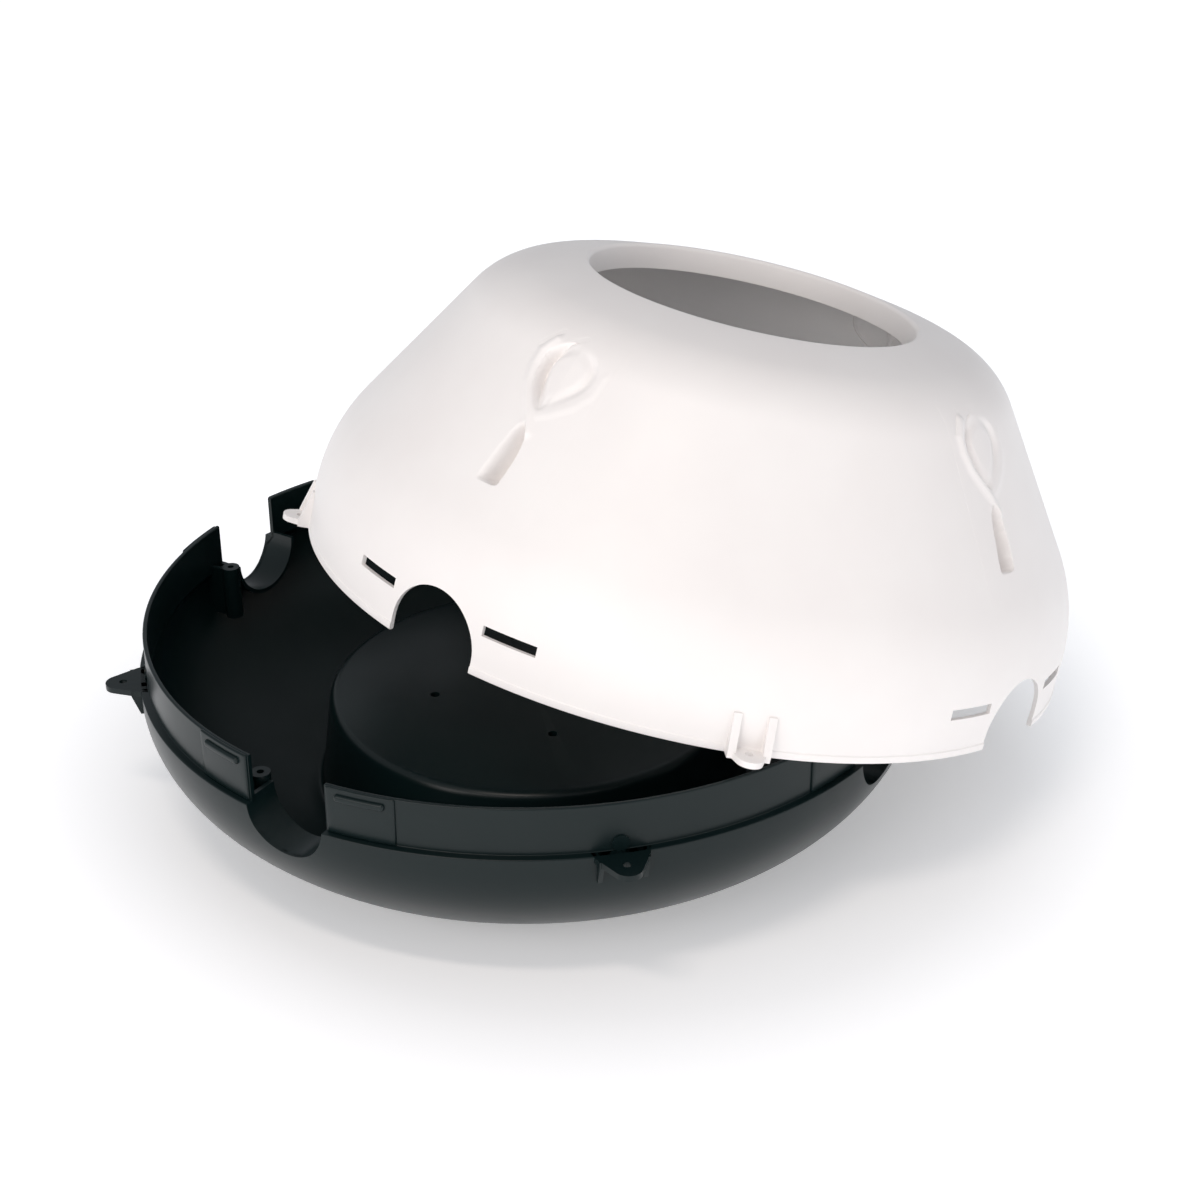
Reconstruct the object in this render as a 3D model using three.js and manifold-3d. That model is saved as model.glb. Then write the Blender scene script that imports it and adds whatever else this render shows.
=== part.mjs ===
// Two-part round litter box: a black pan and a white hood with a round top entry.
// Millimetres, +Z up. Each moulding is built about its own axis with its seat plane at z = 0.
import * as THREE from 'three';
import { mergeVertices } from 'three/addons/utils/BufferGeometryUtils.js';
import Module from 'manifold-3d';

const wasm = await Module();
wasm.setup();

// ---- driving dimensions -------------------------------------------------
const WALL = 3;                    // wall of both mouldings
const GAP = 0.3;                   // clearance between neighbouring nodes
const SIDES = 48;                    // flats round the two shells
const LEDGE_R = 274;               // outer radius at the seat ledge, and of the hood's rim
const BAND_R = 268.8;              // outer radius of the upright band inside the hood
const BAND_H = 32.5;               // band height above the ledge
const BASE_Z = -110;               // underside of the foot ring, below the ledge
const FOOT_IN = 148;
const FOOT_OUT = 160;
const BOWL_CENTRE_R = 110;         // the bowl's outer section is a quarter ellipse
const BOWL_CENTRE_Z = -8;
const BOWL_DEPTH = 104;
const BOWL_OUT_TO = 68;            // degrees round the ellipse that the outer and inner skins reach
const BOWL_IN_TO = 72;
const PLATEAU_R = 145;
const PLATEAU_Z = -38;
const PLATEAU_FOOT_R = 151;
const HOLE_CIRCLE_R = 71;
const HOLE_R = 3.5;

const PORT_R = 29.7;               // half-round port in the pan
const PORT_Z = 3;
const COLLAR_IN = 246;             // inner end of the half sleeve behind each port
const BOSS_R = 6.5;
const BOSS_BORE = 2.4;
const BOSS_AT_R = 250;
const BOSS_TURN = 9.1;             // degrees from the port's centre line
const BOSS_TOP = 7;
const PAD_R = 270.2;
const PAD_FROM = 6.6;              // degrees from the port's centre line
const PAD_TO = 16.3;
const RIDGE_R = 272.4;
const RIDGE_Z = [24, 29];

const EAR_REACH = 297;             // pan ear, from the axis to its tip
const EAR_HALF = 19;
const EAR_TIP = 9;
const LUG_REACH = 293;             // hood lug
const LUG_HALF = 15;
const EAR_PLATE = 4;
const EAR_BORE = 2.6;
const EAR_GUSSET_H = 18;           // gussets under the pan ear, and over the hood lug
const LUG_GUSSET_H = 27;
const LUG_GUSSET_T = 5;

const HOOD_STRAIGHT = 23;          // upright part of the hood's wall above its rim
const HOOD_BEND = 120;             // radius of the bend from upright to the sloping wall
const HOOD_SLOPE = 33.3;           // sloping wall, degrees from the axis
const SHOULDER_R = 65;
const TOP_SLOPE = 13.4;            // top ring, degrees from level
const MOUTH_R = 115.5;
const MOUTH_Z = 220;
const MOUTH_DEPTH = 19;
const HOOD_PORT_R = 34.5;
const HOOD_PORT_Z = 8.5;
const SLOT_Z = [27, 34];
const SLOT_FROM = 8;               // degrees from the port's centre line
const SLOT_TO = 16;
const GRIP_Z = 147;                // height of the middle of each moulded grip
const GRIP_OUT = 3;
const GRIP_IN = -12;
const POCKET_FLOOR = -9;

const LEAN_TOWARDS = 12.3;         // the hood rests over the pan's rim, leaning this way
const LEAN_SHIFT = 121;
const LEAN_RISE = 18.6;
const LEAN_TILT = 13.05;
const LEAN_SPIN = -7.9;

const PORTS = [225, 315, 45, 135];
const EARS = [180, 270, 0, 90];

// ---- materials ----------------------------------------------------------
const panPlastic = new THREE.MeshStandardMaterial({ color: 0x0f1616, roughness: 0.35, metalness: 0 });
const hoodPlastic = new THREE.MeshStandardMaterial({ color: 0xf4efeb, roughness: 0.45, metalness: 0 });

// ---- helpers ------------------------------------------------------------
const rad = THREE.MathUtils.degToRad;

function solidOf(geometry) {
  const bare = geometry.index ? geometry.clone() : geometry;
  bare.deleteAttribute('normal');
  bare.deleteAttribute('uv');
  const merged = mergeVertices(bare, 1e-4);
  return new wasm.Manifold(new wasm.Mesh({
    numProp: 3,
    vertProperties: new Float32Array(merged.attributes.position.array),
    triVerts: new Uint32Array(merged.index.array),
  }));
}

function nodeOf(solid, name, material) {
  const data = solid.getMesh();
  const geometry = new THREE.BufferGeometry();
  geometry.setAttribute('position', new THREE.BufferAttribute(data.vertProperties, 3));
  geometry.setIndex(new THREE.BufferAttribute(data.triVerts, 1));
  geometry.computeVertexNormals();
  const mesh = new THREE.Mesh(geometry, material);
  mesh.name = name;
  return mesh;
}

// A closed section of [radius, height] points, listed counter-clockwise, spun about Z.
function spun(points, sides = SIDES) {
  const profile = points.map(([r, z]) => new THREE.Vector2(r, z));
  const closes = points[0][0] > 0;
  if (closes) profile.push(profile[0].clone());
  return solidOf(new THREE.LatheGeometry(profile, sides).rotateX(Math.PI / 2));
}

// Points of an arc about (cx, cy), angles in degrees.
function arc(cx, cy, radius, from, to, steps) {
  return Array.from({ length: steps + 1 }, (_, i) => {
    const a = rad(from + ((to - from) * i) / steps);
    return [cx + radius * Math.cos(a), cy + radius * Math.sin(a)];
  });
}

function outline(points) {
  return new THREE.Shape(points.map(([x, y]) => new THREE.Vector2(x, y)));
}

// A flat outline in XY given a thickness from z0 to z1.
function slab(points, z0, z1) {
  const geometry = new THREE.ExtrudeGeometry(outline(points), { depth: z1 - z0, bevelEnabled: false });
  return solidOf(geometry.translate(0, 0, z0));
}

// An outline of [sideways, height] points, swept along the radius from r0 to r1 at angle 0.
function radialSlab(points, r0, r1) {
  const toRadial = new THREE.Matrix4().makeBasis(
    new THREE.Vector3(0, 1, 0), new THREE.Vector3(0, 0, 1), new THREE.Vector3(1, 0, 0));
  const geometry = new THREE.ExtrudeGeometry(outline(points), { depth: r1 - r0, bevelEnabled: false });
  return solidOf(geometry.translate(0, 0, r0).applyMatrix4(toRadial));
}

function sector(r0, r1, from, to, z0, z1) {
  const outer = arc(0, 0, r1, from, to, 5);
  const inner = arc(0, 0, r0, to, from, 5);
  return slab([...outer, ...inner], z0, z1);
}

function upright(x, y, radius, z0, z1, sides = 16) {
  const post = new THREE.CylinderGeometry(radius, radius, z1 - z0, sides);
  return solidOf(post.rotateX(Math.PI / 2).translate(x, y, (z0 + z1) / 2));
}

const turned = (solid, degrees) => solid.rotate([0, 0, degrees]);

// ---- pan ----------------------------------------------------------------
const BOWL_HALF_WIDTH = LEDGE_R - BOWL_CENTRE_R;

// Points of the bowl's quarter ellipse, moved inwards by inset, from the ledge down to an angle.
function bowlCurve(inset, to) {
  const steps = 10;
  return Array.from({ length: steps + 1 }, (_, i) => {
    const a = rad((to * i) / steps);
    return [
      BOWL_CENTRE_R + (BOWL_HALF_WIDTH - inset) * Math.cos(a),
      BOWL_CENTRE_Z - (BOWL_DEPTH - inset) * Math.sin(a),
    ];
  });
}

const panSection = [
  [0, PLATEAU_Z - WALL],
  [PLATEAU_R - WALL - 3, PLATEAU_Z - WALL],
  [PLATEAU_R - WALL, PLATEAU_Z - WALL - 3],
  [FOOT_IN, BASE_Z],
  [FOOT_OUT, BASE_Z],
  [FOOT_OUT + 1, BASE_Z + 2.5],
  ...bowlCurve(0, BOWL_OUT_TO).reverse(),
  [LEDGE_R, 0],
  [BAND_R, 0],
  [BAND_R, BAND_H],
  [BAND_R - WALL, BAND_H],
  [BAND_R - WALL, 0],
  ...bowlCurve(WALL, BOWL_IN_TO),
  [PLATEAU_FOOT_R + 6, BASE_Z + WALL + 2],
  [PLATEAU_FOOT_R, BASE_Z + WALL + 5],
  [PLATEAU_R, PLATEAU_Z - 3],
  [PLATEAU_R - 3, PLATEAU_Z],
  [0, PLATEAU_Z],
];

// Everything from just inside the pan's wall outwards: trims what stands against the wall.
const againstWall = spun([
  [330, -110],
  [330, 60],
  [BAND_R - WALL - GAP, 60],
  [BAND_R - WALL - GAP, -GAP],
  ...bowlCurve(WALL + GAP, BOWL_IN_TO),
]);

const insidePanSkin = spun([
  [0, -120],
  ...bowlCurve(-GAP, BOWL_OUT_TO).reverse(),
  [LEDGE_R + GAP, 60],
  [0, 60],
]);

const portSides = [[PORT_R, 60], [-PORT_R, 60]];
const portCut = radialSlab([...arc(0, PORT_Z, PORT_R, 180, 360, 14), ...portSides], 225, 300);

function panShell() {
  let shell = spun(panSection);
  for (const at of PORTS) shell = shell.subtract(turned(portCut, at));
  for (const at of EARS) {
    const hole = upright(HOLE_CIRCLE_R, 0, HOLE_R, PLATEAU_Z - 10, PLATEAU_Z + 10, 12);
    shell = shell.subtract(turned(hole, at));
  }
  return shell;
}

function portCollar() {
  const lower = arc(0, PORT_Z, PORT_R + WALL, 180, 360, 14);
  const upper = arc(0, PORT_Z, PORT_R, 360, 180, 14);
  return radialSlab([...lower, ...upper], COLLAR_IN, 275).subtract(againstWall);
}

// side is +1 or -1: which way round from the port the boss stands.
function screwBoss(side) {
  const at = rad(side * BOSS_TURN);
  const x = BOSS_AT_R * Math.cos(at);
  const y = BOSS_AT_R * Math.sin(at);
  const sleeveRoom = radialSlab(arc(0, PORT_Z, PORT_R + WALL + GAP, 0, 360, 28).slice(1), 225, 300);
  const web = turned(radialSlab([[-1.5, -34], [1.5, -34], [1.5, BOSS_TOP - 3], [-1.5, BOSS_TOP - 3]],
    BOSS_AT_R, 275), side * BOSS_TURN);
  return upright(x, y, BOSS_R, -34, BOSS_TOP)
    .add(web)
    .subtract(upright(x, y, BOSS_BORE, -20, BOSS_TOP + 5, 12))
    .subtract(againstWall)
    .subtract(sleeveRoom);
}

function catchPad(side) {
  const from = side > 0 ? PAD_FROM : -PAD_TO;
  const to = side > 0 ? PAD_TO : -PAD_FROM;
  const pad = sector(BAND_R + GAP, PAD_R, from, to, GAP, BAND_H);
  const ridge = sector(BAND_R + GAP, RIDGE_R, from + 1.4, to - 1.3, ...RIDGE_Z);
  return pad.add(ridge);
}

// Flat ear with a screw hole and two gussets: direction -1 hangs them below, +1 stands them above.
function screwEar(reach, half, gussetAt, gussetHeight, gussetWidth, direction, trim) {
  const tipCentre = reach - EAR_TIP;
  const plate = [
    [LEDGE_R - 8, -half],
    ...arc(tipCentre, 0, EAR_TIP, -58, 58, 8),
    [LEDGE_R - 8, half],
  ];
  const low = direction < 0 ? -EAR_PLATE : 0;
  let ear = slab(plate, low, low + EAR_PLATE);
  const gusset = [
    [LEDGE_R - 12, 0],
    [tipCentre - 2, 0],
    [tipCentre - 2, EAR_PLATE],
    [LEDGE_R + 1, gussetHeight],
    [LEDGE_R - 12, gussetHeight],
  ];
  for (const y of [-gussetAt, gussetAt]) {
    const plane = solidOf(new THREE.ExtrudeGeometry(
      outline(gusset.map(([x, z]) => [x, direction * z])),
      { depth: gussetWidth, bevelEnabled: false }).rotateX(Math.PI / 2).translate(0, y + gussetWidth / 2, 0));
    ear = ear.add(plane);
  }
  return ear
    .subtract(upright(reach - 12, 0, EAR_BORE, -30, 30, 12))
    .subtract(trim);
}

// ---- hood ---------------------------------------------------------------
// Outer skin from the rim up to the mouth, moved inwards by inset.
function hoodSkin(inset) {
  const slope = rad(HOOD_SLOPE);
  const bendCentreR = LEDGE_R - HOOD_BEND;
  const bend = arc(bendCentreR, HOOD_STRAIGHT, HOOD_BEND - inset, 0, HOOD_SLOPE, 5);
  const topAngle = 90 - TOP_SLOPE;
  // The sloping wall and the top ring meet at a corner, which the shoulder rounds off.
  const foot = arc(bendCentreR, HOOD_STRAIGHT, HOOD_BEND, HOOD_SLOPE, HOOD_SLOPE, 1)[0];
  const rise = Math.tan(rad(TOP_SLOPE));
  const lean = Math.tan(slope);
  const cornerZ = (MOUTH_Z - rise * (foot[0] + lean * foot[1] - MOUTH_R)) / (1 - rise * lean);
  const cornerR = foot[0] - lean * (cornerZ - foot[1]);
  const reach = SHOULDER_R / Math.cos(rad((topAngle - HOOD_SLOPE) / 2));
  const middle = rad((topAngle + HOOD_SLOPE) / 2);
  const shoulder = arc(cornerR - reach * Math.cos(middle), cornerZ - reach * Math.sin(middle),
    SHOULDER_R - inset, HOOD_SLOPE, topAngle, 6);
  return [[LEDGE_R - inset, 0], ...bend, ...shoulder];
}

const MOUTH_LIP = 2;
const hoodSection = [
  ...hoodSkin(0),
  [MOUTH_R + MOUTH_LIP, MOUTH_Z],
  [MOUTH_R, MOUTH_Z - MOUTH_LIP],
  [MOUTH_R - 1, MOUTH_Z - MOUTH_DEPTH],
  [MOUTH_R - 1 + WALL, MOUTH_Z - MOUTH_DEPTH],
  [MOUTH_R + WALL, MOUTH_Z - WALL - 1],
  ...hoodSkin(WALL).reverse(),
];

const insideHoodSkin = spun([[0, -40], ...hoodSkin(-GAP).map(([r, z]) => [r, z || -40]), [0, MOUTH_Z]]);

// The grips lie in the sloping wall: x round the wall, y up it, z out of it.
const gripWallR = hoodSkin(0)[6][0] - Math.tan(rad(HOOD_SLOPE)) * (GRIP_Z - hoodSkin(0)[6][1]);

function onWall(solid) {
  return solid
    .rotate([90 - HOOD_SLOPE, 0, 90])
    .translate([gripWallR, 0, GRIP_Z]);
}

function gripOutline(margin) {
  return [
    [-12 - margin, -56 - margin],
    [9 + margin, -56 - margin],
    [10 + margin, 0],
    [13 + margin, 50 + margin],
    [-18 - margin, 50 + margin],
    [-13 - margin, 0],
  ];
}

const upperPocket = [[-15, 46], [3, 6], [10, 46]];
const lowerPocket = [[-9, -52], [6, -52], [-4, -12]];

function grip() {
  const body = slab(gripOutline(0), GRIP_IN, GRIP_OUT);
  return onWall(body
    .subtract(slab(upperPocket, POCKET_FLOOR, 20))
    .subtract(slab(lowerPocket, POCKET_FLOOR, 20)));
}

function hoodShell() {
  const port = radialSlab([
    ...arc(0, HOOD_PORT_Z, HOOD_PORT_R, 0, 180, 14), [-HOOD_PORT_R, -5], [HOOD_PORT_R, -5],
  ], 235, 300);
  const window = onWall(slab(gripOutline(GAP), -40, 40));
  let shell = spun(hoodSection);
  for (const at of PORTS) {
    shell = shell.subtract(turned(port, at)).subtract(turned(window, at));
    for (const from of [SLOT_FROM, -SLOT_TO]) {
      shell = shell.subtract(sector(255, 300, at + from, at + from + SLOT_TO - SLOT_FROM, ...SLOT_Z));
    }
  }
  return shell;
}

// ---- assembly -----------------------------------------------------------
const pan = new THREE.Group();
pan.add(nodeOf(panShell(), 'pan_shell', panPlastic));
const panEar = screwEar(EAR_REACH, EAR_HALF, 14, EAR_GUSSET_H, WALL, -1, insidePanSkin);
PORTS.forEach((at, i) => {
  const bossSide = i % 2 === 0 ? -1 : 1;
  pan.add(nodeOf(turned(portCollar(), at), `port_collar_${i + 1}`, panPlastic));
  pan.add(nodeOf(turned(screwBoss(bossSide), at), `screw_boss_${i + 1}`, panPlastic));
  pan.add(nodeOf(turned(catchPad(-1), at), `catch_${i + 1}a`, panPlastic));
  pan.add(nodeOf(turned(catchPad(1), at), `catch_${i + 1}b`, panPlastic));
  pan.add(nodeOf(turned(panEar, EARS[i]), `pan_ear_${i + 1}`, panPlastic));
});

const hood = new THREE.Group();
hood.add(nodeOf(hoodShell(), 'hood_shell', hoodPlastic));
const hoodLug = screwEar(LUG_REACH, LUG_HALF, 11, LUG_GUSSET_H, LUG_GUSSET_T, 1, insideHoodSkin);
PORTS.forEach((at, i) => {
  hood.add(nodeOf(turned(grip(), at), `hood_grip_${i + 1}`, hoodPlastic));
  hood.add(nodeOf(turned(hoodLug, EARS[i]), `hood_lug_${i + 1}`, hoodPlastic));
});

const towards = rad(LEAN_TOWARDS);
hood.position.set(LEAN_SHIFT * Math.cos(towards), LEAN_SHIFT * Math.sin(towards), LEAN_RISE);
hood.quaternion
  .setFromAxisAngle(new THREE.Vector3(-Math.sin(towards), Math.cos(towards), 0), rad(LEAN_TILT))
  .multiply(new THREE.Quaternion().setFromAxisAngle(new THREE.Vector3(0, 0, 1), rad(LEAN_SPIN)));

// The origin is on the floor, under the middle of the whole object's box.
const litterBox = new THREE.Group();
litterBox.add(pan, hood);
litterBox.updateMatrixWorld(true);
const box = new THREE.Box3().setFromObject(litterBox, true);
litterBox.position.set(-(box.min.x + box.max.x) / 2, -(box.min.y + box.max.y) / 2, -box.min.z);

export default litterBox;
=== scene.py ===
import math

import bpy
import numpy as np
from mathutils import Matrix, Vector


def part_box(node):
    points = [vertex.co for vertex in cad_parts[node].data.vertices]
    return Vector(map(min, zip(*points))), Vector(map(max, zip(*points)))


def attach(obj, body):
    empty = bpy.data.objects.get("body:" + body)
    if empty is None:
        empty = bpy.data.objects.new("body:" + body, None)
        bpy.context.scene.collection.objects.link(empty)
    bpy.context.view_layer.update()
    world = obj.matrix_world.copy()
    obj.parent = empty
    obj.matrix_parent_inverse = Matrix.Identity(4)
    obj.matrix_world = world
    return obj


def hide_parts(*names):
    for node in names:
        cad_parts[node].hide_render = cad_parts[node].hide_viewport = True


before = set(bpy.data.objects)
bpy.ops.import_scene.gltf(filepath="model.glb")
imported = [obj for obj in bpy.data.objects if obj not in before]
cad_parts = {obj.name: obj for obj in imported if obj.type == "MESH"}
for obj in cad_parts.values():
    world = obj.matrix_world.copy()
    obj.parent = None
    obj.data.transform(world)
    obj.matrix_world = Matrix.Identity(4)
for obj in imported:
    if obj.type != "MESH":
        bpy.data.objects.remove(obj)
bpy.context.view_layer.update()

# A round litter box: a black moulded pan, and a white moulded hood resting across the pan's rim.
# Pieces are shaped in millimetres, each about its own moulding's axis with the seat at z = 0,
# and set_down() puts them in place in metres.

# ---- sizes shared with the frame ------------------------------------------
WALL = 3.0
LEDGE_R = 274.0
BAND_R = 268.8
BAND_H = 32.5
BASE_Z = -110.0
FOOT_IN = 148.0
FOOT_OUT = 160.0
BOWL_CENTRE_R = 110.0
BOWL_CENTRE_Z = -8.0
BOWL_DEPTH = 104.0
BOWL_OUT_TO = 68.0
BOWL_IN_TO = 72.0
PLATEAU_R = 145.0
PLATEAU_Z = -38.0
PLATEAU_FOOT_R = 151.0
HOLE_CIRCLE_R = 71.0
HOLE_R = 3.5
TUBE_R = 5.5  # each hole runs on down a short tube under the plateau
TUBE_DEPTH = 22.0

PORT_R = 29.7
PORT_Z = 3.0
PAN_CUT = (225.0, 300.0)  # radii between which the port cutters run
COLLAR_IN = 246.0
BOSS_R = 6.5
BOSS_BORE = 2.4
BOSS_AT_R = 250.0
BOSS_TURN = 9.1
BOSS_TOP = 7.0
BOSS_FOOT = -34.0
PAD_R = 270.2
PAD_FROM = 6.6
PAD_TO = 16.3
RIDGE_R = 272.4
RIDGE_Z = (24.0, 29.0)

EAR_REACH = 297.0
EAR_HALF = 19.0
EAR_TIP = 9.0
LUG_REACH = 293.0
LUG_HALF = 15.0
EAR_PLATE = 4.0
EAR_BORE = 2.6
EAR_HOLE_IN = 12.0  # from the tip to the middle of the screw hole, on ears and lugs
EAR_GUSSET_AT = 14.0
EAR_GUSSET_H = 18.0
EAR_GUSSET_END = 280.0
LUG_GUSSET_AT = 11.0
LUG_GUSSET_H = 27.0
LUG_GUSSET_T = 5.0
LUG_GUSSET_END = 282.0

HOOD_STRAIGHT = 23.0
HOOD_BEND = 120.0
HOOD_SLOPE = 33.3
SHOULDER_R = 65.0
TOP_SLOPE = 13.4
MOUTH_R = 115.5
MOUTH_Z = 220.0
MOUTH_DEPTH = 19.0
HOOD_PORT_R = 34.5
HOOD_PORT_Z = 8.5
HOOD_CUT = (235.0, 300.0)
SLOT_Z = (27.0, 34.0)
SLOT_FROM = 8.0
SLOT_TO = 16.0
GRIP_Z = 147.0

LEAN_TOWARDS = 12.3
LEAN_SHIFT = 121.0
LEAN_RISE = 18.6
LEAN_TILT = 13.05
LEAN_SPIN = -7.9

PORTS = (225, 315, 45, 135)
EARS = (180, 270, 0, 90)
STEPS = 240  # flats round each shell

MM = 0.001
rad = math.radians

# ---- places ---------------------------------------------------------------
low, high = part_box("pan_shell")
pan_axis = Vector(((low.x + high.x) / 2, (low.y + high.y) / 2, high.z - BAND_H * MM))
PAN_PLACE = Matrix.Translation(pan_axis) @ Matrix.Scale(MM, 4)

lean_way = Vector((math.cos(rad(LEAN_TOWARDS)), math.sin(rad(LEAN_TOWARDS)), 0))
hood_axis = pan_axis + (lean_way * LEAN_SHIFT + Vector((0, 0, LEAN_RISE))) * MM
HOOD_PLACE = (
    Matrix.Translation(hood_axis)
    @ Matrix.Rotation(rad(LEAN_TILT), 4, Vector((-lean_way.y, lean_way.x, 0)))
    @ Matrix.Rotation(rad(LEAN_SPIN), 4, "Z")
    @ Matrix.Scale(MM, 4)
)
# Turns a shape drawn flat so that its x runs round the axis, its y up and its z outwards.
RADIAL = Matrix(((0, 0, 1, 0), (1, 0, 0, 0), (0, 1, 0, 0), (0, 0, 0, 1)))


def turn(degrees):
    return Matrix.Rotation(rad(degrees), 4, "Z")


# ---- materials ------------------------------------------------------------
def linear(code):
    """An sRGB hex colour as linear red, green, blue and alpha."""
    parts = [int(code[i:i + 2], 16) / 255 for i in (1, 3, 5)]
    return [p / 12.92 if p <= 0.04045 else ((p + 0.055) / 1.055) ** 2.4 for p in parts] + [1.0]


def node(tree, kind, settings=None, inputs=None):
    """Adds a node. An input given as a socket is linked, anything else is set."""
    made = tree.nodes.new(kind)
    for key, value in (settings or {}).items():
        setattr(made, key, value)
    for key, value in (inputs or {}).items():
        if isinstance(value, bpy.types.NodeSocket):
            tree.links.new(value, made.inputs[key])
        else:
            made.inputs[key].default_value = value
    return made


def ramp(tree, factor, low_stop, high_stop, low_value, high_value):
    made = node(tree, "ShaderNodeMapRange", {"clamp": True}, {"Value": factor, "From Min": low_stop,
                "From Max": high_stop, "To Min": low_value, "To Max": high_value})
    return made.outputs["Result"]


def moulded_plastic(name, colour, cloud_colour, roughness, spread, shine, grain_mm, grain_height_mm):
    """Injection-moulded plastic: one colour with faint flow clouds, a fine spark-eroded grain
    and a gloss that varies a little from place to place."""
    material = bpy.data.materials.new(name)
    material.use_nodes = True
    tree = material.node_tree
    shader = tree.nodes["Principled BSDF"]
    place = node(tree, "ShaderNodeTexCoord").outputs["Object"]
    clouds = node(tree, "ShaderNodeTexNoise", None,
                  {"Vector": place, "Scale": 1 / (90 * MM), "Detail": 3.0, "Roughness": 0.55})
    mix = node(tree, "ShaderNodeMix", {"data_type": "RGBA"},
               {"Factor": ramp(tree, clouds.outputs["Fac"], 0.3, 0.75, 0.0, 1.0)})
    mix.inputs[6].default_value = linear(colour)
    mix.inputs[7].default_value = linear(cloud_colour)
    tree.links.new(mix.outputs[2], shader.inputs["Base Color"])
    wipe = node(tree, "ShaderNodeTexNoise", None,
                {"Vector": place, "Scale": 1 / (60 * MM), "Detail": 2.0, "Roughness": 0.5})
    gloss = ramp(tree, wipe.outputs["Fac"], 0.3, 0.7, roughness - spread, roughness + spread)
    tree.links.new(gloss, shader.inputs["Roughness"])
    grain = node(tree, "ShaderNodeTexNoise", None,
                 {"Vector": place, "Scale": 1 / (grain_mm * MM), "Detail": 2.0})
    bump = node(tree, "ShaderNodeBump", None,
                {"Height": grain.outputs["Fac"], "Distance": grain_height_mm * MM, "Strength": 0.5})
    tree.links.new(bump.outputs["Normal"], shader.inputs["Normal"])
    shader.inputs["IOR"].default_value = 1.49
    shader.inputs["Specular IOR Level"].default_value = shine
    shader.inputs["Metallic"].default_value = 0.0
    return material


# Black polypropylene: deep green-black, with a polish that picks up soft broad reflections.
black_polypropylene = moulded_plastic(
    "black_polypropylene_polished", "#091718", "#0B1A1B", 0.32, 0.03, 0.27, 0.9, 0.006)
# White polypropylene: warm white with a satin skin.
white_polypropylene = moulded_plastic(
    "white_polypropylene_satin", "#F5F2F0", "#F1EDEB", 0.45, 0.03, 0.4, 1.1, 0.008)


# ---- shaping --------------------------------------------------------------
def pick(*pieces):
    if bpy.context.object and bpy.context.object.mode != "OBJECT":
        bpy.ops.object.mode_set(mode="OBJECT")
    bpy.ops.object.select_all(action="DESELECT")
    for piece in pieces:
        piece.select_set(True)
    if pieces:
        bpy.context.view_layer.objects.active = pieces[0]


def draw(name, points, upright=False):
    """Draws a line of [x, y] points, each extruded from the last: flat, or standing up in XZ."""
    def step(x, y):
        return (x, 0, y) if upright else (x, y, 0)

    pick()
    bpy.ops.mesh.primitive_plane_add(size=1)
    piece = bpy.context.object
    piece.name = name
    piece.data.name = name
    bpy.ops.object.mode_set(mode="EDIT")
    bpy.ops.mesh.select_all(action="SELECT")
    bpy.ops.mesh.merge(type="CENTER")
    bpy.ops.transform.translate(value=step(*points[0]))
    for (x0, y0), (x1, y1) in zip(points, points[1:]):
        bpy.ops.mesh.extrude_vertices_move(TRANSFORM_OT_translate={"value": step(x1 - x0, y1 - y0)})
    bpy.ops.mesh.select_all(action="SELECT")
    bpy.ops.mesh.remove_doubles(threshold=1e-3)
    bpy.ops.object.mode_set(mode="OBJECT")
    return piece


def lathe(name, section):
    """Spins a section once round the axis: it starts and ends on the axis, or else it is closed."""
    closing = [section[0]] if section[0][0] else []
    piece = draw(name, [*section, *closing], upright=True)
    pick(piece)
    bpy.ops.object.mode_set(mode="EDIT")
    bpy.ops.mesh.select_all(action="SELECT")
    bpy.ops.mesh.spin(steps=STEPS, angle=2 * math.pi, center=(0, 0, 0), axis=(0, 0, 1))
    bpy.ops.mesh.select_all(action="SELECT")
    bpy.ops.mesh.remove_doubles(threshold=2e-3)
    bpy.ops.mesh.normals_make_consistent(inside=False)
    bpy.ops.object.mode_set(mode="OBJECT")
    return piece


def plate(name, outline, start, depth, matrix=None):
    """A flat outline filled and extruded from height start by depth, then placed by matrix."""
    piece = draw(name, [*outline, outline[0]])
    pick(piece)
    bpy.ops.object.mode_set(mode="EDIT")
    bpy.ops.mesh.select_all(action="SELECT")
    bpy.ops.mesh.edge_face_add()
    bpy.ops.transform.translate(value=(0, 0, start))
    bpy.ops.mesh.extrude_region_move(TRANSFORM_OT_translate={"value": (0, 0, depth)})
    bpy.ops.mesh.select_all(action="SELECT")
    bpy.ops.mesh.normals_make_consistent(inside=False)
    bpy.ops.object.mode_set(mode="OBJECT")
    return place(piece, matrix) if matrix else piece


def post(name, x, y, radius, z0, z1, sides=40):
    pick()
    bpy.ops.mesh.primitive_cylinder_add(
        vertices=sides, radius=radius, depth=z1 - z0, location=(x, y, (z0 + z1) / 2))
    piece = bpy.context.object
    piece.name = name
    return place(piece, Matrix.Identity(4) @ piece.matrix_world)


def place(piece, matrix):
    pick(piece)
    piece.matrix_world = matrix
    bpy.ops.object.transform_apply(location=True, rotation=True, scale=True)
    return piece


def twin(piece, name, matrix=None):
    """A copy with a mesh of its own."""
    made = piece.copy()
    made.data = piece.data.copy()
    made.name = name
    made.data.name = name
    bpy.context.scene.collection.objects.link(made)
    return place(made, matrix) if matrix else made


def apply_modifier(piece, kind, **settings):
    pick(piece)
    modifier = piece.modifiers.new(kind.lower(), kind)
    for key, value in settings.items():
        setattr(modifier, key, value)
    bpy.ops.object.modifier_apply(modifier=modifier.name)
    return piece


def combine(piece, tool, operation, keep=False):
    apply_modifier(piece, "BOOLEAN", operation=operation, object=tool, solver="EXACT")
    if not keep:
        bpy.data.objects.remove(tool)
    return piece


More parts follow.
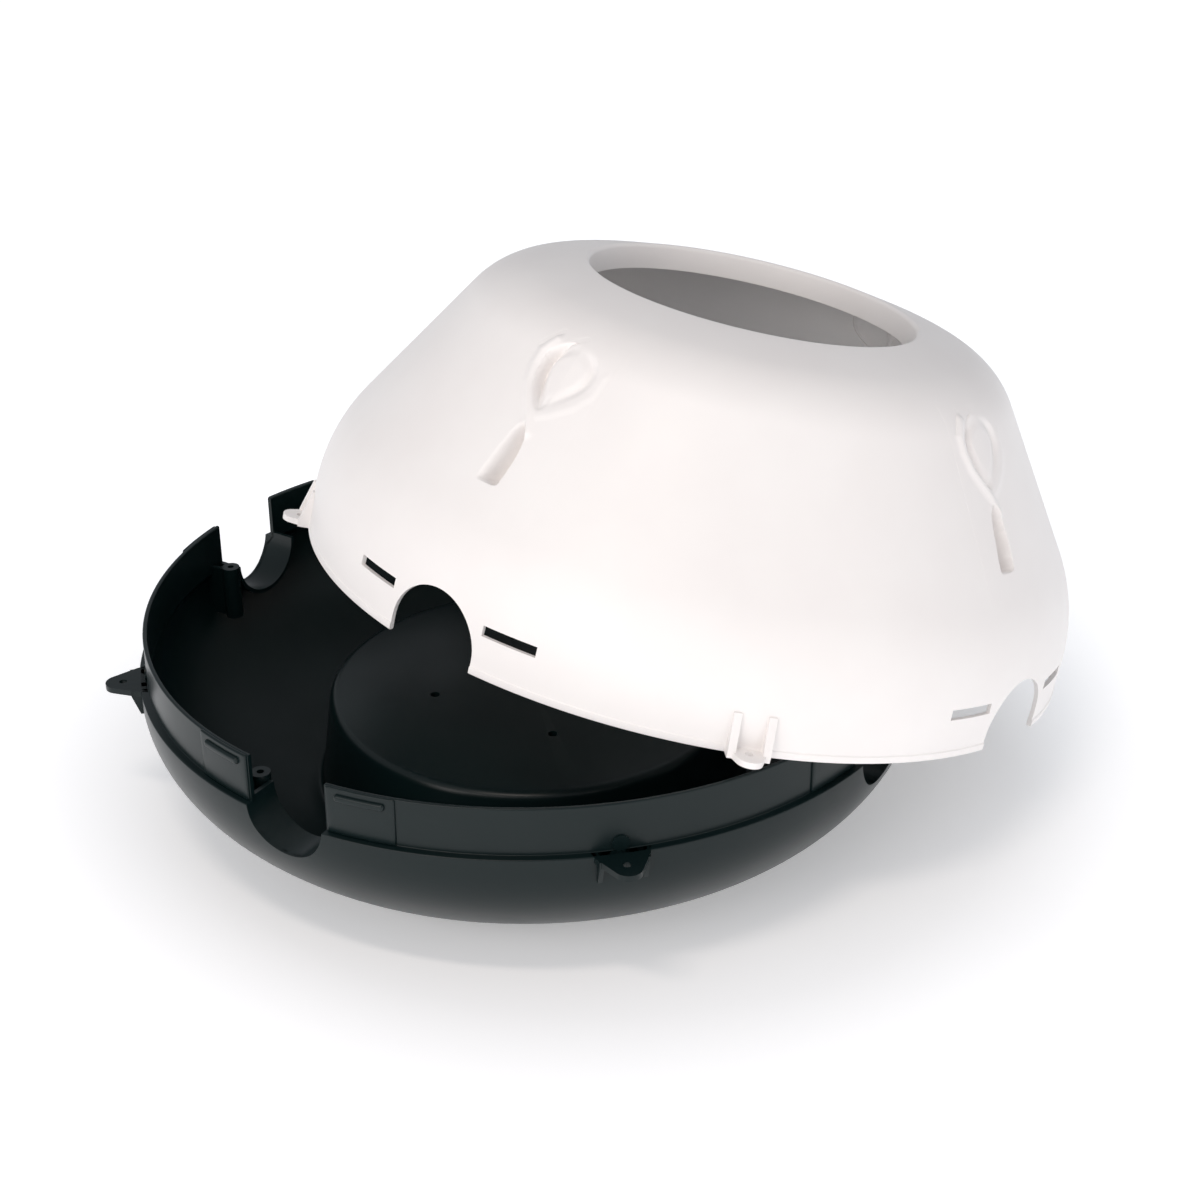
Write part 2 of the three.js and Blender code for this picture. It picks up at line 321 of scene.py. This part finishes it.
def join(name, pieces):
    """Puts pieces that don't touch into one object."""
    pick(*pieces)
    bpy.ops.object.join()
    joined = bpy.context.object
    joined.name = name
    return joined


def soften(piece, width, segments=2, angle=40):
    """Rounds the edges that a mould would round."""
    return apply_modifier(piece, "BEVEL", width=width, segments=segments, limit_method="ANGLE",
                          angle_limit=rad(angle), use_clamp_overlap=True, miter_outer="MITER_ARC")


def set_down(piece, where, body, material, cad_nodes):
    """Puts a finished piece in its place, in metres, on its body and over the nodes it stands for."""
    place(piece, where)
    pick(piece)
    bpy.ops.object.mode_set(mode="EDIT")
    bpy.ops.mesh.select_all(action="SELECT")
    bpy.ops.mesh.remove_doubles(threshold=1e-6)
    bpy.ops.object.mode_set(mode="OBJECT")
    bpy.ops.object.shade_smooth_by_angle(angle=rad(32))
    piece.data.materials.clear()
    piece.data.materials.append(material)
    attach(piece, body)
    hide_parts(*cad_nodes)


def set_down_pan(piece, *cad_nodes):
    set_down(piece, PAN_PLACE, "pan", black_polypropylene, cad_nodes)


def set_down_hood(piece, *cad_nodes):
    set_down(piece, HOOD_PLACE, "hood", white_polypropylene, cad_nodes)


# ---- outlines -------------------------------------------------------------
def arc(cx, cy, radius, start, end, steps):
    angles = [rad(start + (end - start) * i / steps) for i in range(steps + 1)]
    return [(cx + radius * math.cos(a), cy + radius * math.sin(a)) for a in angles]


def rounded(corners, steps=4):
    """Points of an outline of (x, y, radius) corners. Radius 0 keeps a corner as it is."""
    points = []
    for i, (x, y, radius) in enumerate(corners):
        if not radius:
            points.append((x, y))
            continue
        here = Vector((x, y))
        back = (Vector(corners[i - 1][:2]) - here).normalized()
        ahead = (Vector(corners[(i + 1) % len(corners)][:2]) - here).normalized()
        half = back.angle(ahead) / 2
        centre = here + (back + ahead).normalized() * radius / math.sin(half)
        start = here + back * radius / math.tan(half) - centre
        end = here + ahead * radius / math.tan(half) - centre
        a0 = math.atan2(start.y, start.x)
        sweep = (math.atan2(end.y, end.x) - a0 + math.pi) % (2 * math.pi) - math.pi
        for k in range(steps + 1):
            a = a0 + sweep * k / steps
            points.append((centre.x + radius * math.cos(a), centre.y + radius * math.sin(a)))
    return points


def bowl_curve(inset, end, steps=26):
    """The bowl's quarter ellipse, moved inwards by inset, from the ledge down."""
    width = LEDGE_R - BOWL_CENTRE_R - inset
    depth = BOWL_DEPTH - inset
    angles = [rad(end * i / steps) for i in range(steps + 1)]
    return [(BOWL_CENTRE_R + width * math.cos(a), BOWL_CENTRE_Z - depth * math.sin(a), 0) for a in angles]


def hood_skin(inset):
    """The hood's outer skin from the top of its upright rim to the mouth, moved inwards by inset."""
    bend_r = LEDGE_R - HOOD_BEND
    bend = arc(bend_r, HOOD_STRAIGHT, HOOD_BEND - inset, 0, HOOD_SLOPE, 12)
    foot = arc(bend_r, HOOD_STRAIGHT, HOOD_BEND, HOOD_SLOPE, HOOD_SLOPE, 1)[0]
    rise = math.tan(rad(TOP_SLOPE))
    lean = math.tan(rad(HOOD_SLOPE))
    corner_z = (MOUTH_Z - rise * (foot[0] + lean * foot[1] - MOUTH_R)) / (1 - rise * lean)
    corner_r = foot[0] - lean * (corner_z - foot[1])
    top_angle = 90 - TOP_SLOPE
    reach = SHOULDER_R / math.cos(rad((top_angle - HOOD_SLOPE) / 2))
    middle = rad((top_angle + HOOD_SLOPE) / 2)
    centre = (corner_r - reach * math.cos(middle), corner_z - reach * math.sin(middle))
    return bend + arc(*centre, SHOULDER_R - inset, HOOD_SLOPE, top_angle, 18)


# ---- pan ------------------------------------------------------------------
def pan_section():
    return rounded([
        (0, PLATEAU_Z - WALL, 0),
        (PLATEAU_R - WALL, PLATEAU_Z - WALL, 3),
        (FOOT_IN, BASE_Z, 1.2),
        (FOOT_OUT, BASE_Z, 1.8),
        *reversed(bowl_curve(0, BOWL_OUT_TO)),
        (LEDGE_R, 0, 0.9),
        (BAND_R, 0, 0.5),
        (BAND_R, BAND_H, 1.0),
        (BAND_R - WALL, BAND_H, 1.0),
        (BAND_R - WALL, -1, 2.0),
        *bowl_curve(WALL, BOWL_IN_TO),
        (PLATEAU_FOOT_R + 3, BASE_Z + WALL + 1, 3.0),
        (PLATEAU_R, PLATEAU_Z, 6.5),
        (0, PLATEAU_Z, 0),
    ])


def port_cutters(radius, height, inner, outer, top):
    """A half-round cutter for each port: open at the top for the pan, at the bottom for the hood."""
    edge = 60 if top else -6
    ends = (180, 360) if top else (0, 180)
    sides = [(radius, edge), (-radius, edge)] if top else [(-radius, edge), (radius, edge)]
    first = plate("cutter", [*arc(0, height, radius, *ends, 32), *sides], inner, outer - inner, RADIAL)
    copies = [twin(first, "cutter", turn(at)) for at in PORTS]
    bpy.data.objects.remove(first)
    return join("cutters", copies)


def wall_room(name, inset, floor, top):
    """A solid plug that fills the pan to within inset of its outer face, for trimming."""
    curve = [(r, z) for r, z, _ in bowl_curve(inset, BOWL_OUT_TO)]
    section = [(0, top), (BAND_R - inset, top), (BAND_R - inset, 0), *curve, (0, floor)]
    return lathe(name, section)


def make_pan_shell():
    shell = lathe("pan_moulding", pan_section())
    combine(shell, port_cutters(PORT_R, PORT_Z, *PAN_CUT, True), "DIFFERENCE")
    spots = [(HOLE_CIRCLE_R * math.cos(rad(at)), HOLE_CIRCLE_R * math.sin(rad(at))) for at in EARS]
    holes = [post("hole", x, y, HOLE_R, PLATEAU_Z - TUBE_DEPTH - 5, PLATEAU_Z + 10, 24) for x, y in spots]
    tubes = [post("tube", x, y, TUBE_R, PLATEAU_Z - TUBE_DEPTH, PLATEAU_Z - WALL / 2, 24)
             for x, y in spots]
    combine(shell, join("tubes", tubes), "UNION")
    combine(shell, join("holes", holes), "DIFFERENCE")
    set_down_pan(shell, "pan_shell")


def make_port_collars():
    """A half sleeve behind each port, which carries what passes through it over the bowl."""
    lower = arc(0, PORT_Z, PORT_R + WALL, 180, 360, 32)
    upper = arc(0, PORT_Z, PORT_R, 360, 180, 32)
    sleeve = plate("port_sleeve", [*lower, *upper], COLLAR_IN, 40, RADIAL)
    combine(sleeve, wall_room("room", WALL / 2, -100, 40), "INTERSECT")
    soften(sleeve, 0.6)
    for i, at in enumerate(PORTS):
        set_down_pan(twin(sleeve, f"port_sleeve_{i + 1}", turn(at)), f"port_collar_{i + 1}")
    bpy.data.objects.remove(sleeve)


def make_screw_bosses():
    """A hollow screw post beside each port, tied to the wall by a web."""
    for side, places in ((-1, (0, 2)), (1, (1, 3))):
        at = rad(side * BOSS_TURN)
        x, y = BOSS_AT_R * math.cos(at), BOSS_AT_R * math.sin(at)
        boss = post("screw_boss", x, y, BOSS_R, BOSS_FOOT, BOSS_TOP)
        web_outline = [(-1.5, BOSS_FOOT), (1.5, BOSS_FOOT), (1.5, BOSS_TOP - 2.5), (-1.5, BOSS_TOP - 2.5)]
        web = plate("web", web_outline, BOSS_AT_R, 30, turn(side * BOSS_TURN) @ RADIAL)
        combine(boss, web, "UNION")
        combine(boss, wall_room("room", WALL / 2, -100, 40), "INTERSECT")
        combine(boss, post("bore", x, y, BOSS_BORE, -20, BOSS_TOP + 5, 28), "DIFFERENCE")
        soften(boss, 0.5)
        for i in places:
            set_down_pan(twin(boss, f"screw_boss_visual_{i + 1}", turn(PORTS[i])), f"screw_boss_{i + 1}")
        bpy.data.objects.remove(boss)


def sector(name, r0, r1, start, end, z0, z1):
    outline = [*arc(0, 0, r1, start, end, 14), *arc(0, 0, r0, end, start, 14)]
    return plate(name, outline, z0, z1 - z0)


def make_catches():
    """Thickened pads either side of each port, each with a ridge that snaps into the hood's slot."""
    for side, letter in ((-1, "a"), (1, "b")):
        start, end = (PAD_FROM, PAD_TO) if side > 0 else (-PAD_TO, -PAD_FROM)
        pad = sector("catch", BAND_R - 1, PAD_R, start, end, 0.2, BAND_H)
        ridge = sector("ridge", BAND_R - 1, RIDGE_R, start + 1.4, end - 1.3, *RIDGE_Z)
        soften(ridge, 1.9, 4)
        soften(pad, 1.0, 3)
        combine(pad, ridge, "UNION")
        for i, at in enumerate(PORTS):
            set_down_pan(twin(pad, f"catch_pad_{i + 1}{letter}", turn(at)), f"catch_{i + 1}{letter}")
        bpy.data.objects.remove(pad)


def ear_plate(name, reach, half, low_z):
    tip_x = reach - EAR_TIP - 0.2
    outline = [(LEDGE_R - 8, -half), (LEDGE_R + 1, -half + 2), *arc(tip_x, 0, EAR_TIP, -62, 62, 20),
               (LEDGE_R + 1, half - 2), (LEDGE_R - 8, half)]
    return plate(name, outline, low_z, EAR_PLATE)


def gusset(tip, y, direction, height, width):
    """An upright web from the wall out to tip: direction -1 hangs it below, 1 stands it above."""
    outline = [(LEDGE_R - 12, 0), (tip, 0), (tip, direction * EAR_PLATE),
               (LEDGE_R + 1, direction * height), (LEDGE_R - 12, direction * height)]
    upright = Matrix.Translation((0, y, 0)) @ Matrix.Rotation(rad(90), 4, "X")
    return plate("gusset", outline, -width / 2, width, upright)


def make_pan_ears():
    """Screw ears at the ledge, with gussets under them and a low bump on the band above."""
    ear = ear_plate("pan_ear", EAR_REACH, EAR_HALF, -EAR_PLATE)
    for y in (-EAR_GUSSET_AT, EAR_GUSSET_AT):
        combine(ear, gusset(EAR_GUSSET_END, y, -1, EAR_GUSSET_H, WALL), "UNION")
    combine(ear, post("hole", EAR_REACH - EAR_HOLE_IN, 0, EAR_BORE, -30, 30, 28), "DIFFERENCE")
    bump = plate("bump", arc(0, 5, 5.5, 0, 360, 28)[:-1], BAND_R - 1, 2.2, RADIAL)
    combine(ear, bump, "UNION")
    inside = lathe("inside", [(0, -90), *[(r, z) for r, z, _ in reversed(bowl_curve(WALL / 2, BOWL_OUT_TO))],
                              (LEDGE_R - 6.5, 0), (LEDGE_R - 6.5, 60), (0, 60)])
    combine(ear, inside, "DIFFERENCE")
    soften(ear, 0.9, 3)
    for i, at in enumerate(EARS):
        set_down_pan(twin(ear, f"screw_ear_{i + 1}", turn(at)), f"pan_ear_{i + 1}")
    bpy.data.objects.remove(ear)


# ---- hood -----------------------------------------------------------------
BEAD = 0.7  # the rolled edge along the hood's rim stands this proud
BEAD_TOP = 4.6


def hood_section():
    outer = [(r, z, 0) for r, z in hood_skin(0)]
    inner = [(r, z, 0) for r, z in reversed(hood_skin(WALL))]
    return rounded([
        (LEDGE_R + BEAD, 0, 0.9),
        (LEDGE_R + BEAD, BEAD_TOP, 0.6),
        (LEDGE_R, BEAD_TOP + 0.7, 0.4),
        *outer,
        (MOUTH_R, MOUTH_Z, 3.0),
        (MOUTH_R - 1, MOUTH_Z - MOUTH_DEPTH, 0.8),
        (MOUTH_R - 1 + WALL, MOUTH_Z - MOUTH_DEPTH, 0.8),
        (MOUTH_R + WALL, MOUTH_Z - WALL - 1, 1.5),
        *inner,
        (LEDGE_R - WALL, 0, 0.9),
    ])


# A grip is a figure of eight: two straps that cross between a dished loop above and a finger
# pocket below. It is traced on the unrolled wall: x round it and y up it from the grip's middle.
UPPER_LOOP = [(-2, 7), (-9, 14), (-15, 23), (-18.5, 33), (-18, 44), (-12, 53), (-4, 58), (7, 58.5),
              (17, 54), (23.5, 46), (25, 37), (22, 28), (15, 19), (6, 11)]
LOWER_LOOP = [(-4, -2), (1, -8), (3.5, -17), (4.5, -28), (4, -38), (2.5, -46), (-5, -47.5), (-13.5, -47),
              (-14.5, -40), (-13, -29), (-11.5, -18), (-9, -8)]
STRAPS = (  # each strap's height and its middle line
    (1.7, [(1, -8), (-1, -4), (-5, 4), (-12, 13), (-19, 23), (-22.5, 34), (-22.5, 44), (-17, 55)]),
    (0.5, [(-6, -4), (0, 4), (9, 9), (20, 18), (28, 29), (29, 42)]),
)
SLITS = [[(-27, 48), (-17, 62)], [(-9, 53), (2, 63.5)]]
STRAP_HALF = 3.4
SKIM = 0.06  # the patch stands this proud of the wall where nothing is moulded
SLIT_HALF = 1.1
SLIT_DEPTH = 1.3
PATCH_FADE = 4.0
PATCH_WALL = 2.2
UPPER_DEPTH = 9.0
LOWER_DEPTH = 15.0
GRIP_HALF = (33.0, 66.0)
GRIP_COUNT = (90, 172)


def closed_curve(points, per_span=8):
    """A smooth closed line through the points."""
    line = []
    count = len(points)
    for i in range(count):
        p0, p1, p2, p3 = (np.array(points[(i + k) % count], float) for k in (-1, 0, 1, 2))
        for j in range(per_span):
            t = j / per_span
            line.append(0.5 * (2 * p1 + (p2 - p0) * t + (2 * p0 - 5 * p1 + 4 * p2 - p3) * t * t
                               + (3 * p1 - p0 - 3 * p2 + p3) * t ** 3))
    return np.array(line)


def side_and_distance(x, y, line):
    """Distance from each point to a closed line, and whether the point is inside it."""
    nearest = np.full(x.shape, 1e9)
    inside = np.zeros(x.shape, bool)
    for (ax, ay), (bx, by) in zip(line, np.roll(line, -1, axis=0)):
        dx, dy = bx - ax, by - ay
        t = np.clip(((x - ax) * dx + (y - ay) * dy) / (dx * dx + dy * dy + 1e-9), 0, 1)
        nearest = np.minimum(nearest, np.hypot(x - ax - t * dx, y - ay - t * dy))
        crosses = ((ay > y) != (by > y)) & (x < ax + (y - ay) * dx / (dy + 1e-12 * (dy == 0)))
        inside ^= crosses
    return nearest, inside


def smooth(t):
    t = np.clip(t, 0, 1)
    return t * t * (3 - 2 * t)


def line_distance(x, y, line):
    """Distance from each point to an open line."""
    nearest = np.full(x.shape, 1e9)
    for (ax, ay), (bx, by) in zip(line, line[1:]):
        dx, dy = bx - ax, by - ay
        t = np.clip(((x - ax) * dx + (y - ay) * dy) / (dx * dx + dy * dy), 0, 1)
        nearest = np.minimum(nearest, np.hypot(x - ax - t * dx, y - ay - t * dy))
    return nearest


def grip_height(x, y):
    """How far the grip's surface stands above the wall, or below it inside the loop and the pocket."""
    height = np.full(x.shape, SKIM)
    for strap_height, strap in STRAPS:
        swell = strap_height * np.exp(-(line_distance(x, y, strap) / STRAP_HALF) ** 2)
        height = np.maximum(height, swell)
    for slit in SLITS:
        height = height - SLIT_DEPTH * np.exp(-(line_distance(x, y, slit) / SLIT_HALF) ** 2)
    away, inside = side_and_distance(x, y, closed_curve(UPPER_LOOP))
    # The dish is deepest along its two sides and swells up to a facet in the middle.
    sides = np.interp(x, [-15, -5, 4, 20], [1.0, 0.35, 0.05, 0.32]) * smooth((60 - y) / 14)
    wall = np.interp(x, [-6, 10], [2.8, 6.0])
    dish = UPPER_DEPTH * sides * smooth(away / wall) * (1 - 0.8 * smooth((away - 3.5) / 8))
    height = np.where(inside, height - dish, height)
    away, inside = side_and_distance(x, y, closed_curve(LOWER_LOOP))
    wall = np.interp(x, [-12, -2], [10.0, 2.4])
    height = np.where(inside, height - LOWER_DEPTH * smooth(away / wall), height)
    edge = np.minimum(GRIP_HALF[0] - np.abs(x), GRIP_HALF[1] - np.abs(y))
    return np.where(edge < PATCH_FADE, SKIM + (height - SKIM) * smooth(edge / PATCH_FADE), height)


def wall_point(skin, lengths, x, y, height):
    """Wraps a point of the unrolled wall back onto the hood, height above its skin."""
    s = np.interp(GRIP_Z, skin[:, 1], lengths) + y
    r = np.interp(s, lengths, skin[:, 0])
    z = np.interp(s, lengths, skin[:, 1])
    dr = np.interp(s + 2, lengths, skin[:, 0]) - np.interp(s - 2, lengths, skin[:, 0])
    dz = np.interp(s + 2, lengths, skin[:, 1]) - np.interp(s - 2, lengths, skin[:, 1])
    size = np.hypot(dr, dz)
    angle = x / r
    r = r + height * dz / size
    z = z - height * dr / size
    return r * np.cos(angle), r * np.sin(angle), z


def unrolled_skin():
    skin = np.array([(LEDGE_R, 0.0), *hood_skin(0), (MOUTH_R + 3, MOUTH_Z - 0.7)])
    lengths = np.concatenate([[0], np.cumsum(np.hypot(*np.diff(skin, axis=0).T))])
    return skin, lengths


def make_grips():
    pick()
    bpy.ops.mesh.primitive_grid_add(x_subdivisions=GRIP_COUNT[0], y_subdivisions=GRIP_COUNT[1], size=2)
    grip = bpy.context.object
    flat = np.array([v.co[:] for v in grip.data.vertices])
    x, y = flat[:, 0] * GRIP_HALF[0], flat[:, 1] * GRIP_HALF[1]
    skin, lengths = unrolled_skin()
    shaped = np.stack(wall_point(skin, lengths, x, y, grip_height(x, y)), axis=1)
    grip.data.vertices.foreach_set("co", shaped.astype(np.float32).ravel())
    grip.data.update()
    pick(grip)
    bpy.ops.object.mode_set(mode="EDIT")
    bpy.ops.mesh.select_all(action="SELECT")
    bpy.ops.mesh.normals_make_consistent(inside=False)
    bpy.ops.object.mode_set(mode="OBJECT")
    middle = grip.data.polygons[len(grip.data.polygons) // 2]
    if middle.normal.x < 0:
        grip.data.flip_normals()
    apply_modifier(grip, "SOLIDIFY", thickness=PATCH_WALL, offset=-1.0)
    for i, at in enumerate(PORTS):
        set_down_hood(twin(grip, f"grip_{i + 1}", turn(at)), f"hood_grip_{i + 1}")
    bpy.data.objects.remove(grip)


def grip_window():
    """Cuts the wall away behind a grip's two pockets."""
    skin, lengths = unrolled_skin()
    made = []
    for loop in (UPPER_LOOP, LOWER_LOOP):
        line = closed_curve(loop, 3)
        window = plate("window", [tuple(p) for p in line], 0, 1)
        co = np.array([v.co[:] for v in window.data.vertices])
        reach = np.where(co[:, 2] > 0.5, 9.0, -9.0)
        moved = np.stack(wall_point(skin, lengths, co[:, 0], co[:, 1], reach), axis=1)
        window.data.vertices.foreach_set("co", moved.astype(np.float32).ravel())
        window.data.update()
        pick(window)
        bpy.ops.object.mode_set(mode="EDIT")
        bpy.ops.mesh.select_all(action="SELECT")
        bpy.ops.mesh.quads_convert_to_tris()
        bpy.ops.mesh.normals_make_consistent(inside=False)
        bpy.ops.object.mode_set(mode="OBJECT")
        made.append(window)
    return join("windows", made)


def make_hood_shell():
    shell = lathe("hood_moulding", hood_section())
    combine(shell, port_cutters(HOOD_PORT_R, HOOD_PORT_Z, *HOOD_CUT, False), "DIFFERENCE")
    slots = []
    for at in PORTS:
        for start in (SLOT_FROM, -SLOT_TO):
            slots.append(sector("slot", 255, 300, at + start, at + start + SLOT_TO - SLOT_FROM, *SLOT_Z))
    combine(shell, join("slots", slots), "DIFFERENCE")
    window = grip_window()
    for at in PORTS:
        combine(shell, twin(window, "window", turn(at)), "DIFFERENCE")
    bpy.data.objects.remove(window)
    set_down_hood(shell, "hood_shell")


def make_hood_lugs():
    """Screw lugs on the rim between the ports, each a shelf under two gussets."""
    lug = ear_plate("hood_lug", LUG_REACH, LUG_HALF, 0)
    for y in (-LUG_GUSSET_AT, LUG_GUSSET_AT):
        combine(lug, gusset(LUG_GUSSET_END, y, 1, LUG_GUSSET_H, LUG_GUSSET_T), "UNION")
    combine(lug, post("hole", LUG_REACH - EAR_HOLE_IN, 0, EAR_BORE, -30, 30, 28), "DIFFERENCE")
    section = [(0, -20), (LEDGE_R - WALL / 2, -20), *hood_skin(WALL / 2), (0, MOUTH_Z)]
    combine(lug, lathe("inside", section), "DIFFERENCE")
    soften(lug, 1.4, 3)
    for i, at in enumerate(EARS):
        set_down_hood(twin(lug, f"screw_lug_{i + 1}", turn(at)), f"hood_lug_{i + 1}")
    bpy.data.objects.remove(lug)


# ---- studio ---------------------------------------------------------------
CAMERA_BACK = 1380 * MM
CAMERA_DROP = 27.28
CAMERA_TURN = -12.8
CAMERA_AIM = (40.7, 38.6)
FOCAL_SHARE = 1961.8 / 1178  # focal length over the frame's width
SENSOR = 36.0
GLOW_REACH = (0.30, 0.60)  # metres out from the middle between which the paper's painted glow grows, from painted shade near the model
GLOW_STRENGTH = (0.26, 0.64)


def make_camera():
    camera = bpy.data.objects.new("camera", bpy.data.cameras.new("camera"))
    bpy.context.scene.collection.objects.link(camera)
    camera.data.sensor_width = SENSOR
    camera.data.lens = SENSOR * FOCAL_SHARE
    camera.data.clip_end = 20
    swing = turn(CAMERA_TURN)
    aim = pan_axis + swing @ Vector((CAMERA_AIM[0], 0, CAMERA_AIM[1])) * MM
    down = rad(CAMERA_DROP)
    back = swing @ Vector((0, -math.cos(down), math.sin(down)))
    camera.location = aim + back * CAMERA_BACK
    camera.rotation_euler = (-back).to_track_quat("-Z", "Y").to_euler()
    bpy.context.scene.camera = camera


def make_floor():
    """White paper that glows as painted light: weaker near the middle, as painted shade round the model's
    foot, and stronger further out so that the sweep stays white behind the model.
    """
    pick()
    bpy.ops.mesh.primitive_grid_add(x_subdivisions=8, y_subdivisions=8, size=12, location=(0, 0, -0.0005))
    floor = bpy.context.object
    floor.name = "studio_floor"
    paper = bpy.data.materials.new("white_paper_painted_glow")
    paper.use_nodes = True
    tree = paper.node_tree
    shader = tree.nodes["Principled BSDF"]
    place = node(tree, "ShaderNodeTexCoord").outputs["Object"]
    away = node(tree, "ShaderNodeVectorMath", {"operation": "LENGTH"}, {0: place}).outputs["Value"]
    shader.inputs["Base Color"].default_value = linear("#FBFCFE")
    shader.inputs["Roughness"].default_value = 0.9
    shader.inputs["Emission Color"].default_value = linear("#FFFFFF")
    # painted light: the floor glows, and glows less near the model as a painted shadow under it
    glow = ramp(tree, away, *GLOW_REACH, *GLOW_STRENGTH)
    tree.links.new(glow, shader.inputs["Emission Strength"])
    floor.data.materials.append(paper)


def area_light(name, direction, distance, size, power, colour="#FFFFFF"):
    """A soft panel at that distance in a direction (azimuth from the camera's side, height)."""
    azimuth, height = rad(direction[0] + CAMERA_TURN - 90), rad(direction[1])
    level = math.cos(height)
    way = Vector((math.cos(azimuth) * level, math.sin(azimuth) * level, math.sin(height)))
    lamp = bpy.data.lights.new(name, "AREA")
    lamp.shape = "RECTANGLE"
    lamp.size, lamp.size_y = size
    lamp.energy = power
    lamp.color = linear(colour)[:3]
    light = bpy.data.objects.new(name, lamp)
    bpy.context.scene.collection.objects.link(light)
    light.location = pan_axis + way * distance
    light.rotation_euler = (-way).to_track_quat("-Z", "Y").to_euler()


def make_lights():
    area_light("front_panel", (-36, 26), 2.6, (1.8, 1.2), 21, "#FFF8F4")
    area_light("right_panel", (48, 22), 2.6, (1.4, 1.0), 8, "#FFF6F2")
    area_light("top_strip", (-16, 58), 2.2, (0.6, 0.14), 7, "#FFF2E6")
    world = bpy.data.worlds.new("studio")
    bpy.context.scene.world = world
    world.use_nodes = True
    sky = world.node_tree.nodes["Background"]
    sky.inputs["Color"].default_value = linear("#F4F8FF")
    sky.inputs["Strength"].default_value = 0.48
    bpy.context.scene.view_settings.view_transform = "Standard"


make_camera()
make_pan_shell()
make_port_collars()
make_screw_bosses()
make_catches()
make_pan_ears()
make_hood_shell()
make_grips()
make_hood_lugs()
make_floor()
make_lights()
